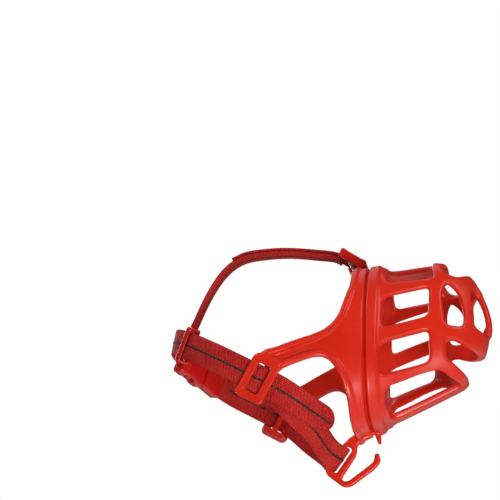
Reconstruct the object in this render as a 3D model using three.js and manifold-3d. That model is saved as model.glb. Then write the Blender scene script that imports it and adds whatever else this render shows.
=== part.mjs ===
// Basket muzzle for a medium dog, as worn: +X towards the nose, +Y to the dog's left, +Z up.
// Millimetres. The origin is the centre of the rear opening that the snout goes in through.
import * as THREE from "three";
import { mergeVertices } from "three/addons/utils/BufferGeometryUtils.js";
import Module from "manifold-3d";

const wasm = await Module();
wasm.setup();

// ---------- driving dimensions ----------
const WALL = 4; // moulded wall
const MOULD_GAP = 0.3; // parting gap between the nodes of the one-piece moulding
const RIM_BEAD = 1.2; // how far the collar's raised borders stand out
const WEB_W = 16; // webbing width
const WEB_T = 1.6; // webbing thickness
const THREAD_W = 1.1; // centre stitching width
const THREAD_T = 0.28; // centre stitching height
const THREAD_LIFT = 0.09; // clear air under the stitching strip
const RIM_SLOT_LENGTH = 5; // front to back, of the slot at the top of the collar

// Sections of the basket: top point (x, z), bottom point (x, z), half width.
const STATIONS = [
  [16.6, 50.5, -15, -51, 48],
  [34, 46.5, 6, -48.3, 46],
  [44, 44.5, 16.5, -47, 44.3],
  [54, 43, 27, -45.5, 41.8],
  [63, 41.3, 38, -43.7, 39.6],
  [70, 38.5, 48, -42, 37],
  [75, 35, 55.5, -40.5, 33.5],
  [79.5, 30.5, 62, -37, 29],
  [83, 25, 69, -31, 24],
  [85, 18, 76, -24, 18],
  [86.3, 10, 81.5, -15, 11],
  [87, 1, 86, -6, 2],
];
const SECTION_POWER = 2.6; // superellipse power of every section
const SECTION_POINTS = 36; // vertices round a section
const SEAM = 0.5; // station of the deep groove between collar and cage

// Side windows, seen from the side: x, z corners.
const UPPER_WINDOW = [[20.5, 0], [26, 20], [55, 19.5], [48.5, 0.5]];
const LOWER_WINDOW = [[11.5, -26], [17.5, -6.5], [46.8, -6], [41.5, -25.5]];
const NOSE_SIDE_WINDOW = [[54.5, -7], [58, 12.5], [64.5, 21], [70.5, 12], [70, -2], [66, -10.5]];
const MOUTH_GAP = [[49.5, -24], [52.5, -14.5], [58, -14.8], [65.5, -20.3], [75, -25], [98, -28],
  [98, -60], [74, -48], [58.5, -35], [54, -30]];
// Windows seen from above or below: x, y corners on the dog's left.
const CHIN_WINDOW = [[9, 7], [9.5, 33], [14, 38.5], [38, 34], [46, 31.5], [54, 18], [57, 7]];
const TOP_WINDOW = [[35.5, 12], [34, 20], [31, 36], [35, 39.5], [53, 36.5], [59, 32], [62, 20],
  [62.5, 12]];
const NOSE_TOP = [[-6.5, -28], [0, -31], [6.5, -28], [9.5, -21]]; // along noseTopDir, y
// Window in the front of the nose: y, z corners.
const FRONT_WINDOW = [[4.5, -15], [4.5, 15], [16, 15.5], [25, 12], [26.5, -1], [24.5, -11],
  [14, -15.2]];
const CORNER = 4; // window corner radius

// Taper worked into the finished shape: see tapered().
const DRAW_IN = 0.2; // share of the width the cage loses towards the nose
const DRAW_FROM = -20; // x where it starts
const DRAW_TO = 45; // x where it is complete
const DRAW_RISE = 0.244; // the sides rise by this much per millimetre drawn in
const MIDDLE_SCALE = 0.97; // side view size on the plane of symmetry
const SIDE_GROWTH = 0.00141; // and its growth per millimetre out from that plane
const HEIGHT_GROWTH = -0.00024; // and per millimetre up
const SOFT = 10; // how gradually the sides turn into the middle
const SWEEP = 0.075; // the collar's sides lie further back by this much per millimetre out
const SWEEP_IN = [-45, -5]; // x over which the sweep comes in
const SWEEP_OUT = [15, 50]; // and dies away again
const TOP_DROP = 3.3; // how much the top is flattened, on the plane of symmetry
const TOP_DROP_Z = [10, 45]; // height over which the flattening comes in
const TOP_DROP_X = [-40, 10]; // x over which it comes in
const TOP_DROP_OUT = 25; // how far out from the middle it ends

// Straps: the loops on the arms lie in planes along X and Z, with the slots along SLOT_DIR.
const LOOP = new THREE.Vector3(-55.5, -60, -10.5); // centre of the right loop
const SLOT_DIR = new THREE.Vector3(0.69, 0, 0.724).normalize();
const ALONG = new THREE.Vector3(0.724, 0, -0.69).normalize(); // webbing's way out, to the chin
const NAPE_SLOT_DIR = new THREE.Vector3(0.42, 0, 0.907).normalize();
const CHIN_DIR = new THREE.Vector3(0.775, 0, 0.632).normalize();
const CHIN_SLOT = new THREE.Vector3(-27.2, 0, -60.2); // centre of the webbing in the chin slot

// ---------- geometry helpers ----------
const v3 = (x, y, z) => new THREE.Vector3(x, y, z);

function solid(geometry) {
  const bare = geometry.index ? geometry.toNonIndexed() : geometry.clone();
  for (const name of Object.keys(bare.attributes)) if (name !== "position") bare.deleteAttribute(name);
  const merged = mergeVertices(bare, 1e-4);
  const triVerts = new Uint32Array(merged.index.array);
  const made = new wasm.Manifold(
    new wasm.Mesh({ numProp: 3, vertProperties: merged.attributes.position.array, triVerts }),
  );
  if (made.volume() > 0) return made;
  for (let i = 0; i < triVerts.length; i += 3) triVerts.set([triVerts[i + 1], triVerts[i]], i);
  return new wasm.Manifold(
    new wasm.Mesh({ numProp: 3, vertProperties: merged.attributes.position.array, triVerts }),
  );
}

function geometryOf(manifold) {
  const mesh = manifold.getMesh();
  const geometry = new THREE.BufferGeometry();
  const positions = new Float32Array(mesh.vertProperties.length);
  positions.set(mesh.vertProperties);
  geometry.setAttribute("position", new THREE.BufferAttribute(positions, 3));
  geometry.setIndex(new THREE.BufferAttribute(new Uint32Array(mesh.triVerts), 1));
  return geometry;
}

// A closed skin over a grid of points: rows[i] is a closed ring; rows join end to end if looped.
function skin(rows, looped) {
  const n = rows[0].length;
  const positions = rows.flat().flatMap((p) => [p.x, p.y, p.z]);
  const index = [];
  const last = looped ? rows.length : rows.length - 1;
  for (let i = 0; i < last; i++) {
    const a = i * n;
    const b = ((i + 1) % rows.length) * n;
    for (let j = 0; j < n; j++) {
      const k = (j + 1) % n;
      index.push(a + j, b + j, b + k, a + j, b + k, a + k);
    }
  }
  if (!looped) {
    for (const [row, flip] of [[0, false], [rows.length - 1, true]]) {
      const centre = rows[row].reduce((s, p) => s.add(p), v3(0, 0, 0)).divideScalar(n);
      const c = positions.length / 3;
      positions.push(centre.x, centre.y, centre.z);
      for (let j = 0; j < n; j++) {
        const k = (j + 1) % n;
        const a = row * n;
        index.push(...(flip ? [c, a + k, a + j] : [c, a + j, a + k]));
      }
    }
  }
  const geometry = new THREE.BufferGeometry();
  geometry.setAttribute("position", new THREE.BufferAttribute(new Float32Array(positions), 3));
  geometry.setIndex(index);
  return geometry;
}

// Rounds the corners of a polygon and returns it as a shape.
function roundedShape(points, radius) {
  const shape = new THREE.Shape();
  const n = points.length;
  for (let i = 0; i < n; i++) {
    const p = new THREE.Vector2(...points[i]);
    const before = new THREE.Vector2(...points[(i + n - 1) % n]).sub(p);
    const after = new THREE.Vector2(...points[(i + 1) % n]).sub(p);
    const cut = Math.min(radius, before.length() * 0.45, after.length() * 0.45);
    const a = p.clone().add(before.setLength(cut));
    const b = p.clone().add(after.setLength(cut));
    if (i === 0) shape.moveTo(a.x, a.y);
    else shape.lineTo(a.x, a.y);
    shape.quadraticCurveTo(p.x, p.y, b.x, b.y);
  }
  shape.closePath();
  return shape;
}

// A prism: the shape's plane is given by two directions, and it runs from..to along the third.
function prism(shape, right, up, from, to, origin = v3(0, 0, 0), curveSegments = 3) {
  const geometry = new THREE.ExtrudeGeometry(shape, {
    depth: to - from,
    bevelEnabled: false,
    curveSegments,
  });
  geometry.translate(0, 0, from);
  const normal = new THREE.Vector3().crossVectors(right, up);
  const matrix = new THREE.Matrix4().makeBasis(right, up, normal).setPosition(origin);
  return geometry.applyMatrix4(matrix);
}

const X = v3(1, 0, 0);
const Y = v3(0, 1, 0);
const Z = v3(0, 0, 1);
// Side view prisms run along Y (right = Z, up = X gives normal +Y).
const sidePrism = (points, from, to, radius = CORNER) =>
  prism(roundedShape(points.map(([x, z]) => [z, x]), radius), Z, X, from, to);
const planPrism = (points, from, to, radius = CORNER) =>
  prism(roundedShape(points, radius), X, Y, from, to);
const frontPrism = (points, from, to, radius = CORNER) =>
  prism(roundedShape(points, radius), Y, Z, from, to);
const mirrored = (points, axis) => points.map((p) => p.map((c, i) => (i === axis ? -c : c)));

// A box with its own axes: centre, unit directions and full sizes.
function block(centre, dirs, sizes) {
  const geometry = new THREE.BoxGeometry(...sizes);
  const matrix = new THREE.Matrix4().makeBasis(...dirs).setPosition(centre);
  return geometry.applyMatrix4(matrix);
}

// Webbing along a smooth line. Each knot is [point, width direction].
function webbingRows(knots, steps) {
  const line = new THREE.CatmullRomCurve3(knots.map((k) => k[0]), false, "centripetal");
  const rows = [];
  for (let i = 0; i <= steps; i++) {
    const t = i / steps;
    const place = Math.min(t * (knots.length - 1), knots.length - 1 - 1e-9);
    const k = Math.floor(place);
    const width = knots[k][1].clone().lerp(knots[k + 1][1], place - k);
    const tangent = line.getTangent(t);
    width.addScaledVector(tangent, -tangent.dot(width)).normalize();
    const normal = new THREE.Vector3().crossVectors(tangent, width);
    rows.push({ point: line.getPoint(t), width, normal, tangent });
  }
  return rows;
}

// A flat strip on those rows: half width, thickness, and how far its middle stands off the line.
function strip(rows, halfWidth, thickness, offset = 0) {
  const rings = rows.map((row, i) => {
    const half = typeof halfWidth === "function" ? halfWidth(i, rows) : halfWidth;
    return [[-1, -1], [1, -1], [1, 1], [-1, 1]].map(([a, b]) =>
      row.point
        .clone()
        .addScaledVector(row.width, a * half)
        .addScaledVector(row.normal, offset + (b * thickness) / 2),
    );
  });
  return skin(rings, false);
}

const THREAD_OFFSET = WEB_T / 2 + THREAD_LIFT + THREAD_T / 2;

// ---------- the moulded basket ----------
const topLine = new THREE.CatmullRomCurve3(STATIONS.map((s) => v3(s[0], s[4], s[1])));
const bottomLine = new THREE.CatmullRomCurve3(STATIONS.map((s) => v3(s[2], s[4], s[3])));
const SPAN = STATIONS.length - 1;

// Point of the basket's outer surface at a station (0..SPAN) and an angle round the section.
function surface(station, angle) {
  const top = topLine.getPoint(station / SPAN);
  const bottom = bottomLine.getPoint(station / SPAN);
  const c = Math.cos(angle);
  const s = Math.sin(angle);
  const r = (Math.abs(c) ** SECTION_POWER + Math.abs(s) ** SECTION_POWER) ** (-1 / SECTION_POWER);
  const centre = v3((top.x + bottom.x) / 2, 0, (top.z + bottom.z) / 2);
  const rise = v3((top.x - bottom.x) / 2, 0, (top.z - bottom.z) / 2);
  return centre.addScaledVector(rise, r * s).add(v3(0, top.y * r * c, 0));
}

function surfaceOffset(station, angle, offset) {
  const d = 0.02;
  const at = Math.min(station, SPAN - d);
  const along = surface(at + d, angle).sub(surface(Math.max(at - d, 0), angle));
  const round = surface(at, angle + d).sub(surface(at, angle - d));
  const out = new THREE.Vector3().crossVectors(round, along).normalize();
  return surface(station, angle).addScaledVector(out, offset);
}

const angles = Array.from({ length: SECTION_POINTS }, (_, i) => (i / SECTION_POINTS) * 2 * Math.PI);
const rings = (stations, offset) =>
  stations.map((t) => angles.map((a) => surfaceOffset(t, a, offset)));

const outerStations = [SEAM + 0.02, 1, 2, 3, 4, 5, 5.8, 6.6, 7.4, 8.2, 9.1, 10, 11];
const outer = solid(skin(rings(outerStations, 0), false));
const cavityStations = [SEAM - 0.25, 1, 2, 3, 4, 5, 5.8, 6.6, 7.4, 8.2, 9.1, 10];
const cavity = solid(skin(rings(cavityStations, -WALL), false));

// The raised border of the cage behind the windows.
const border = solid(
  skin(
    [[SEAM + 0.02, -1], [SEAM + 0.02, RIM_BEAD], [0.82, RIM_BEAD], [0.92, 0.2], [0.92, -1]].map(
      ([t, o]) => angles.map((a) => surfaceOffset(t, a, o)),
    ),
    true,
  ),
);

const noseTopDir = v3(0.62, 0, -0.785);
const noseTop = prism(
  roundedShape(NOSE_TOP.concat(mirrored(NOSE_TOP, 1).reverse()), CORNER),
  noseTopDir, Y, -22, 22, v3(75.5, 0, 33),
);

const cuts = [
  sidePrism(UPPER_WINDOW, -70, 70),
  sidePrism(LOWER_WINDOW, -70, 70),
  sidePrism(NOSE_SIDE_WINDOW, -70, -12, 3),
  sidePrism(NOSE_SIDE_WINDOW, 12, 70, 3),
  sidePrism(MOUTH_GAP, -70, 70, 2),
  planPrism(CHIN_WINDOW, -70, 0),
  planPrism(mirrored(CHIN_WINDOW, 1), -70, 0),
  planPrism(TOP_WINDOW, 20, 70),
  planPrism(mirrored(TOP_WINDOW, 1), 20, 70),
  frontPrism(FRONT_WINDOW, 60, 110, 3),
  frontPrism(mirrored(FRONT_WINDOW, 0), 60, 110, 3),
  noseTop,
];
let cage = outer.add(border).subtract(cavity);
for (const cut of cuts) cage = cage.subtract(solid(cut));

// The collar round the snout opening: two raised borders with a panel between them.
const collarProfile = [
  [0, -WALL], [0, RIM_BEAD], [0.21, RIM_BEAD], [0.26, 0.3], [0.42, 0.3], [0.45, -0.6],
  [SEAM, -0.6], [SEAM, -WALL],
];
let collar = solid(
  skin(collarProfile.map(([t, o]) => angles.map((a) => surfaceOffset(t, a, o))), true),
);

// Slot at the top of the collar, for the overhead strap.
const rimUp = v3(-0.22, 0, 0.975).normalize();
const rimForward = v3(0.975, 0, 0.22).normalize();
const RIM_SLOT = v3(22.2, 0, 49);
collar = collar.subtract(
  solid(block(RIM_SLOT, [rimForward, Y, rimUp], [RIM_SLOT_LENGTH, WEB_W + 2, 16])),
);

// ---------- arms with strap loops ----------
// Upper and lower edge of the right arm in side view, from the collar back to the loop.
const ARM_EDGES = [
  [6.3, 26, -8.6, -24.5],
  [1, 16.5, -9.6, -17],
  [-5, 11.5, -12, -10.5],
  [-12, 8.8, -16, -6.9],
  [-22, 7.4, -22, -6],
  [-34, 5.9, -31, -7],
  [-44, 4.8, -39.5, -8.3],
  [-48.5, 3.4, -45.5, -10.5],
];
const ARM_Y = 48; // half spread at the collar
const LOOP_Y = 60; // half spread at the loops, middle of their outer bars
const FLARE_LENGTH = 46;
const ARM_T = 4.2;
const CHANNEL_DEPTH = 2.2; // of the channel between the arm's two edge ridges
const ROOT_CHANNEL_DEPTH = 0.8; // and its depth where the arm meets the collar
const CHANNEL_FROM = 3.6; // width of an edge ridge
const CHANNEL_SLOPE = 1.2; // width of the slope down into the channel
const LOOP_L = 26;
const LOOP_W = 16.5;
const SLOT_L = WEB_W + 2;
const SLOT_W = 8.6;
const LOOP_BAR_T = 2;
const LOOP_DEPTH = 8.2; // through the loop, with its sunk centre bar
const CENTRE_BAR_W = 3.4;
const CENTRE_BAR_T = 1.8;
const RIM_LEAN = 0.3113; // the rim leans forward by this much per millimetre of height
const RIM_X = 0.875; // the rim's plane, at the height of the origin
const RIM_HALF_W = 48; // half width of the rim
const RIM_HALF_H = 51; // half height of the rim

const flare = (x) => {
  const s = THREE.MathUtils.clamp((-x - 2) / FLARE_LENGTH, 0, 1);
  return ARM_Y + (LOOP_Y - ARM_Y) * s * s * (3 - 2 * s);
};

function armRing([topX, topZ, bottomX, bottomZ], i) {
  const fade = i / (ARM_EDGES.length - 1);
  const sunk = i === 0 ? ROOT_CHANNEL_DEPTH : i < ARM_EDGES.length - 1 ? CHANNEL_DEPTH : 0;
  const across = Math.hypot(bottomX - topX, bottomZ - topZ);
  const crest = CHANNEL_FROM / across;
  const foot = (CHANNEL_FROM + CHANNEL_SLOPE) / across;
  const ring = [];
  for (const [f, depth] of [[0, 0], [crest, 0], [foot, sunk], [1 - foot, sunk], [1 - crest, 0], [1, 0],
    [1, ARM_T], [0.5, ARM_T], [0, ARM_T]]) {
    const x = topX + (bottomX - topX) * f;
    const z = topZ + (bottomZ - topZ) * f;
    const filled = (Math.abs(z) / RIM_HALF_H) ** SECTION_POWER;
    const onRim = RIM_HALF_W * (1 - filled) ** (1 / SECTION_POWER);
    const bend = Math.max(0, 1 - fade * 3);
    const y = flare(x) + (onRim - ARM_Y) * bend - depth;
    ring.push(v3(i === 0 ? RIM_X + RIM_LEAN * z - 3 * MOULD_GAP : x, y, z));
  }
  return ring;
}

function leftArm() {
  const centre = LOOP.clone().setY(0);
  const axes = [ALONG, Y.clone().negate(), SLOT_DIR];
  const face = LOOP_Y + LOOP_BAR_T / 2;
  const at = (a, y, w) =>
    centre.clone().addScaledVector(ALONG, a).addScaledVector(SLOT_DIR, w).setY(y);
  const cut = solid(block(at(0, face, 0), axes, [LOOP_W - 1, 30, LOOP_L - 1]));
  let whole = solid(skin(ARM_EDGES.map(armRing), false)).subtract(cut);
  const frame = solid(block(at(0, LOOP_Y, 0), axes, [LOOP_W, LOOP_BAR_T, LOOP_L]));
  const slot = solid(block(at(0, face, 0), axes, [SLOT_W, 30, SLOT_L]));
  whole = whole.add(frame.subtract(slot));
  for (const s of [-1, 1])
    whole = whole.add(
      solid(block(at(0, face - LOOP_DEPTH / 2, (s * (LOOP_L + SLOT_L)) / 4), axes,
        [LOOP_W - 3, LOOP_DEPTH, (LOOP_L - SLOT_L) / 2])),
    );
  const bar = block(at(0, face - LOOP_DEPTH + CENTRE_BAR_T / 2, 0), axes,
    [CENTRE_BAR_W, CENTRE_BAR_T, LOOP_L - 2]);
  return whole.add(solid(bar));
}

// ---------- chin hook ----------
const HOOK_T = 3;
const HOOK_OUTLINE = [[-0.5, -50.6], [-4.2, -51.8], [-15.6, -54.6], [-17.4, -60.2], [-30.4, -71.4],
  [-29.4, -73.2], [-26.4, -73.6], [-8.6, -66.8], [-7, -62.6], [-4.4, -62.6], [-4.2, -68.2],
  [-9.6, -71.8], [-26.4, -77.8], [-31, -76.6], [-38.4, -66.6], [-38.6, -62.6], [-24, -51.4],
  [-16.6, -49]];
const SPIKE_OUTLINE = [[-3.6, -50.4], [1.6, -50.4], [-1.2, -58.2], [-3, -58]];
const CHIN_SLOT_L = WEB_W + 1.6;
const CHIN_SLOT_W = 4.2;

const hookPrism = (points, radius) =>
  solid(prism(roundedShape(points.map(([x, z]) => [z, x]), radius), Z, X, -HOOK_T / 2, HOOK_T / 2));
const collarClearance = solid(
  skin(
    [[-0.3, -WALL - 9], [-0.3, MOULD_GAP + RIM_BEAD], [0.9, MOULD_GAP + RIM_BEAD], [0.9, -WALL - 9]]
      .map(([t, o]) => angles.map((a) => surfaceOffset(Math.max(t, 0), a, o).addScaledVector(
        rimForward, t < 0 ? -6 : 0))),
    true,
  ),
);
const hook = hookPrism(HOOK_OUTLINE, 1.2)
  .add(hookPrism(SPIKE_OUTLINE, 0.8))
  .subtract(solid(block(CHIN_SLOT, [CHIN_DIR, Y, new THREE.Vector3().crossVectors(CHIN_DIR, Y)],
    [CHIN_SLOT_L, 20, CHIN_SLOT_W])))
  .subtract(collarClearance);

// ---------- webbing ----------
const LAYER = WEB_T + 0.3; // pitch of stacked webbing
const STRAP_Y = 57.8; // half spread of the outer layer where it goes through the arm loops
const NAPE_P = 74; // distance back from the loops to the nape, in the plane of the neck loop
const neckPoint = (p, y, w = 0) =>
  LOOP.clone().setY(y).addScaledVector(ALONG, -p).addScaledVector(SLOT_DIR, w);
const neckDir = (p) =>
  SLOT_DIR.clone().lerp(NAPE_SLOT_DIR, THREE.MathUtils.clamp(p / NAPE_P, 0, 1)).normalize();
const neckKnots = (line) => line.map(([p, y]) => [neckPoint(p, y), neckDir(p)]);

// Right half of the neck loop, round the nape to the buckle: distance back from the loops, and Y.
const DOUBLED_LINE = [[0, -STRAP_Y], [12, -57.6], [26, -55.6], [40, -50], [53, -40.5]];
const RIGHT_LINE = [[-11, -STRAP_Y], ...DOUBLED_LINE, [64, -27], [71, -12.5], [NAPE_P, 0], [73.4, 8],
  [70.8, 16.4]];
const LEFT_LINE = [[43.4, 52], [36, 56.4], [27, 58], [20, STRAP_Y], [11.6, STRAP_Y]];
const neckRightRows = webbingRows(neckKnots(RIGHT_LINE), 40);
const neckLeftRows = webbingRows(neckKnots(LEFT_LINE), 12);

// The inner layer of that half runs on as the chin strap: right loop, chin hook, left loop.
const CHIN_OUT = new THREE.Vector3().crossVectors(Y, CHIN_DIR);
const chinMiddle = (y, back) =>
  CHIN_SLOT.clone().addScaledVector(CHIN_OUT, LAYER).addScaledVector(ALONG, -back).setY(y);
const chinSide = (side, y) => [
  [neckPoint(-3, y * side), SLOT_DIR],
  [neckPoint(-13, (y - 1) * side, -1.8), SLOT_DIR],
  [neckPoint(-26, (y - 7.5) * side, -5.8), SLOT_DIR],
  [neckPoint(-40, (y - 22) * side, -10.4), SLOT_DIR.clone().lerp(CHIN_DIR, 0.4)],
  [chinMiddle(14 * side, 6.2), CHIN_DIR],
];
const chinKnots = [
  ...neckKnots([[56, -37.5], ...DOUBLED_LINE.slice().reverse()].slice(0, -1)),
  ...chinSide(-1, STRAP_Y),
  [chinMiddle(-3.5, 0.4), CHIN_DIR],
  [chinMiddle(3.5, 0.4), CHIN_DIR],
  ...chinSide(1, STRAP_Y + LAYER).reverse(),
  [neckPoint(9.6, STRAP_Y + LAYER), SLOT_DIR],
];
const chinRows = webbingRows(chinKnots, 64);

// Free end of the neck strap, past the right loop.
const tailKnots = [[13, -57.7, 0], [24, -54.6, -0.6], [38, -52, -1.6], [50, -50.8, -2.4]].map(
  ([q, y, w]) => [neckPoint(-q, y, w), SLOT_DIR],
);
const tailRows = webbingRows(tailKnots, 20);
const roundTip = (i, rows) => {
  const left = rows[rows.length - 1].point.distanceTo(rows[i].point);
  const tip = WEB_W / 2;
  return left >= tip ? tip : Math.max(Math.sqrt(tip * tip - (tip - left) ** 2), 2);
};

// Overhead strap in the plane of symmetry: x, z, from the head slider to the inside of the nape.
const OVERHEAD_LINE = [[7.6, 64.6], [4, 68], [-6, 72], [-21, 76.8], [-38, 80.3], [-50, 82], [-58, 80.9],
  [-67, 76.6], [-76.5, 68.6], [-85.6, 58.6], [-93, 49.4], [-99, 43.4], [-104.2, 40.4]];
const overheadRows = webbingRows(OVERHEAD_LINE.map(([x, z]) => [v3(x, 0, z), Y]), 30);
// Its separate front length: sewn end under the slider, round the rim's border, up over the
// slider's middle bar, and back on top of the strap to its free end.
const FRONT_LINE = [[11.4, 57.4], [12.8, 53.4], [13.4, 48.4], [15.6, 43.8], [19.6, 43], [22.2, 46],
  [22.8, 50], [21.4, 53.8], [18.4, 57.3], [15.6, 60.6], [10.9, 65.9], [5.4, 70], [-4.6, 73.9], [-20.4, 78.7],
  [-37.7, 82.3], [-50, 84], [-59, 82.7]];
const frontRows = webbingRows(FRONT_LINE.map(([x, z]) => [v3(x, 0, z), Y]), 44);

// Black thread down the middle of a strip, on both faces' outer side.
const thread = (rows, offset) => strip(rows, THREAD_W / 2, THREAD_T, offset);

// ---------- plastic hardware ----------
const inFrame = (origin, dirs) => (u, v, n, size) =>
  block(origin.clone().addScaledVector(dirs[0], u).addScaledVector(dirs[1], v)
    .addScaledVector(dirs[2], n), dirs, size);
const joined = (pieces) => pieces.map(solid).reduce((a, b) => a.add(b));

// Slider near the rim: outer bars over the webbing, middle bar under it.
const HEAD_SLIDER = v3(14.9, 0, 61.5);
const headAlong = v3(0.66, 0, -0.75).normalize();
const headPlace = inFrame(HEAD_SLIDER, [headAlong, Y, new THREE.Vector3().crossVectors(headAlong, Y)]);
const headSlider = joined([
  headPlace(-7.2, 0, 2.3, [3.6, 23, 2]),
  headPlace(7.2, 0, 2.3, [3.6, 23, 2]),
  headPlace(0, 9.9, 0.4, [18, 3.2, 5.8]),
  headPlace(0, -9.9, 0.4, [18, 3.2, 5.8]),
  headPlace(0, 0, -1.9, [3.4, 20, 1.2]),
]);

// Keeper ring round both layers of the neck strap.
const keeperDirs = (() => {
  const along = neckPoint(56, -37.6).sub(neckPoint(50, -43)).normalize();
  const width = neckDir(53).addScaledVector(along, -along.dot(neckDir(53))).normalize();
  return [along, width, new THREE.Vector3().crossVectors(along, width)];
})();
const keeperPlace = inFrame(neckPoint(53, -40.5), keeperDirs);
const KEEPER_W = 5;
const keeper = joined([-1, 1].flatMap((s) => [
  keeperPlace(0, s * 9.9, 0.95, [KEEPER_W, 2.2, 8.2]),
  keeperPlace(0, 0, 0.95 + s * 3.2, [KEEPER_W, 20, 1.8]),
]));

// Side-release buckle on the left half of the neck loop.
const BUCKLE_START = neckPoint(70.4, 17.6);
const BUCKLE_END = neckPoint(43.2, 52.4);
const buckleAlong = BUCKLE_END.clone().sub(BUCKLE_START).normalize();
const buckleWidth = (() => {
  const w = neckDir(57);
  return w.addScaledVector(buckleAlong, -buckleAlong.dot(w)).normalize();
})();
const buckleOut = new THREE.Vector3().crossVectors(buckleAlong, buckleWidth);
const bucklePlace = inFrame(BUCKLE_START, [buckleAlong, buckleWidth, buckleOut]);
const SOCKET_L = 25;
const BUCKLE_T = 8.4;
const PLUG_L = 17.5;
const PRONG_L = 14.5;
const socket = joined([bucklePlace(SOCKET_L / 2, 0, 0, [SOCKET_L, 23, BUCKLE_T])])
  .subtract(solid(bucklePlace(SOCKET_L - 8, 0, 0, [16.4, 18, 5])))
  .subtract(solid(bucklePlace(SOCKET_L - 12.4, 0, 0, [6.6, 30, 5])))
  .subtract(solid(bucklePlace(0, 0, 0, [7, WEB_W + 1, WEB_T + 0.8])));
const PLUG_MID = SOCKET_L + 0.5 + PLUG_L / 2;
const plug = joined([
  bucklePlace(PLUG_MID, 0, 0, [PLUG_L, 20, 7]),
  bucklePlace(SOCKET_L - 5, 0, 0, [14, 5.4, 3.4]),
]).subtract(solid(bucklePlace(PLUG_MID + PLUG_L / 2, 0, 0, [7, WEB_W + 1, WEB_T + 0.8])));
const prong = (s) => joined([
  bucklePlace(SOCKET_L + 0.1 - PRONG_L / 2, s * 7, 0, [PRONG_L, 2.4, 3.8]),
  bucklePlace(SOCKET_L - PRONG_L + 2.4, s * 8.9, 0, [4.2, 3.6, 3.8]),
]);

// ---------- taper ----------
// Moves a vertex of the straight-sided shape to its place on the tapered one.
function tapered(point) {
  const { smoothstep } = THREE.MathUtils;
  const [x, y, z] = point;
  const out = Math.hypot(y, SOFT) - SOFT;
  const share = DRAW_IN * smoothstep(x, DRAW_FROM, DRAW_TO);
  const swept = SWEEP * out * smoothstep(x, ...SWEEP_IN) * (1 - smoothstep(x, ...SWEEP_OUT));
  const middle = 1 - smoothstep(out, 0, TOP_DROP_OUT);
  const drop = TOP_DROP * smoothstep(z, ...TOP_DROP_Z) * smoothstep(x, ...TOP_DROP_X) * middle;
  const scale = MIDDLE_SCALE * (1 + SIDE_GROWTH * out + HEIGHT_GROWTH * z);
  point[0] = x * scale - swept;
  point[1] = y * (1 - share);
  point[2] = z * scale + DRAW_RISE * share * out - drop;
}

// ---------- assembly ----------
const RED = 0xc5231b;
const GLOSS_RED = 0xb51a16;
const WEB_RED = 0x9b1417;
const BLACK = 0x17110f;
const moulded = { color: RED, roughness: 0.42 };
const plastic = { color: GLOSS_RED, roughness: 0.22 };
const webbing = { color: WEB_RED, roughness: 0.75 };
const threadLook = { color: BLACK, roughness: 0.85 };

const left = leftArm();
const parts = [
  ["cage", cage, moulded],
  ["rim_collar", collar, moulded],
  ["arm_right", left.mirror([0, 1, 0]), moulded],
  ["arm_left", left, moulded],
  ["chin_hook", hook, moulded],
  ["neck_strap_right", solid(strip(neckRightRows, WEB_W / 2, WEB_T)), webbing],
  ["neck_strap_left", solid(strip(neckLeftRows, WEB_W / 2, WEB_T)), webbing],
  ["neck_strap_tail", solid(strip(tailRows, roundTip, WEB_T)), webbing],
  ["chin_strap", solid(strip(chinRows, WEB_W / 2, WEB_T, -LAYER)), webbing],
  ["overhead_strap", solid(strip(overheadRows, WEB_W / 2, WEB_T)), webbing],
  ["overhead_front", solid(strip(frontRows, WEB_W / 2, WEB_T)), webbing],
  ["neck_thread_right", solid(thread(neckRightRows.slice(1, -4), -THREAD_OFFSET)), threadLook],
  ["neck_thread_left", solid(thread(neckLeftRows.slice(4, -1), -THREAD_OFFSET)), threadLook],
  ["tail_thread", solid(thread(tailRows.slice(0, -3), THREAD_OFFSET)), threadLook],
  ["chin_thread", solid(thread(chinRows.slice(26, -11), THREAD_OFFSET + 0.04 - LAYER)), threadLook],
  ["overhead_thread", solid(thread(overheadRows.slice(2, -3), THREAD_OFFSET)), threadLook],
  ["head_slider", headSlider, plastic],
  ["neck_keeper", keeper, plastic],
  ["buckle_socket", socket, plastic],
  ["buckle_plug", plug, plastic],
  ["prong_upper", prong(1), plastic],
  ["prong_lower", prong(-1), plastic],
];

const group = new THREE.Group();
for (const [name, manifold, look] of parts) {
  const mesh = new THREE.Mesh(
    geometryOf(manifold.warp(tapered)),
    new THREE.MeshStandardMaterial({ ...look, metalness: 0 }),
  );
  mesh.name = name;
  group.add(mesh);
}
export default group;
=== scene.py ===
# Basket muzzle for a medium dog: the moulded basket, its webbing and its plastic hardware.
# Places are in millimetres on the straight-sided shape, and tapered() moves them to the
# finished one: +X towards the nose, +Y to the dog's left, +Z up.
import math

import bpy
import numpy as np
from mathutils import Matrix, Vector


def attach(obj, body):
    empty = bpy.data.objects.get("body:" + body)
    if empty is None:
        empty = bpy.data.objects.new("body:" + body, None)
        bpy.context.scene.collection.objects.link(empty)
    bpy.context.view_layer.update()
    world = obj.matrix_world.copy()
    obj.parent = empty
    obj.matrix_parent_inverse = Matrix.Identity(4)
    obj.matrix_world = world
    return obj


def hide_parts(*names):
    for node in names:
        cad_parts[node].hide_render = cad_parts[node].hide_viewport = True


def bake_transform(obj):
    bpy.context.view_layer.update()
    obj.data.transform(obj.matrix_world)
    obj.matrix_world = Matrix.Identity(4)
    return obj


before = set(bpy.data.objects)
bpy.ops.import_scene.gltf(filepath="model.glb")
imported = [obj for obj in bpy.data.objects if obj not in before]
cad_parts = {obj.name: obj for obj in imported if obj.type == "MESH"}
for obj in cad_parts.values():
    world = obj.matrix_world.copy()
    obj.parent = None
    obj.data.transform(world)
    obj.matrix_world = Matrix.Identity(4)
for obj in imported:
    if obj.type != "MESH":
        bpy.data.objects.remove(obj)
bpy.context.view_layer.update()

MM = 0.001
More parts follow.
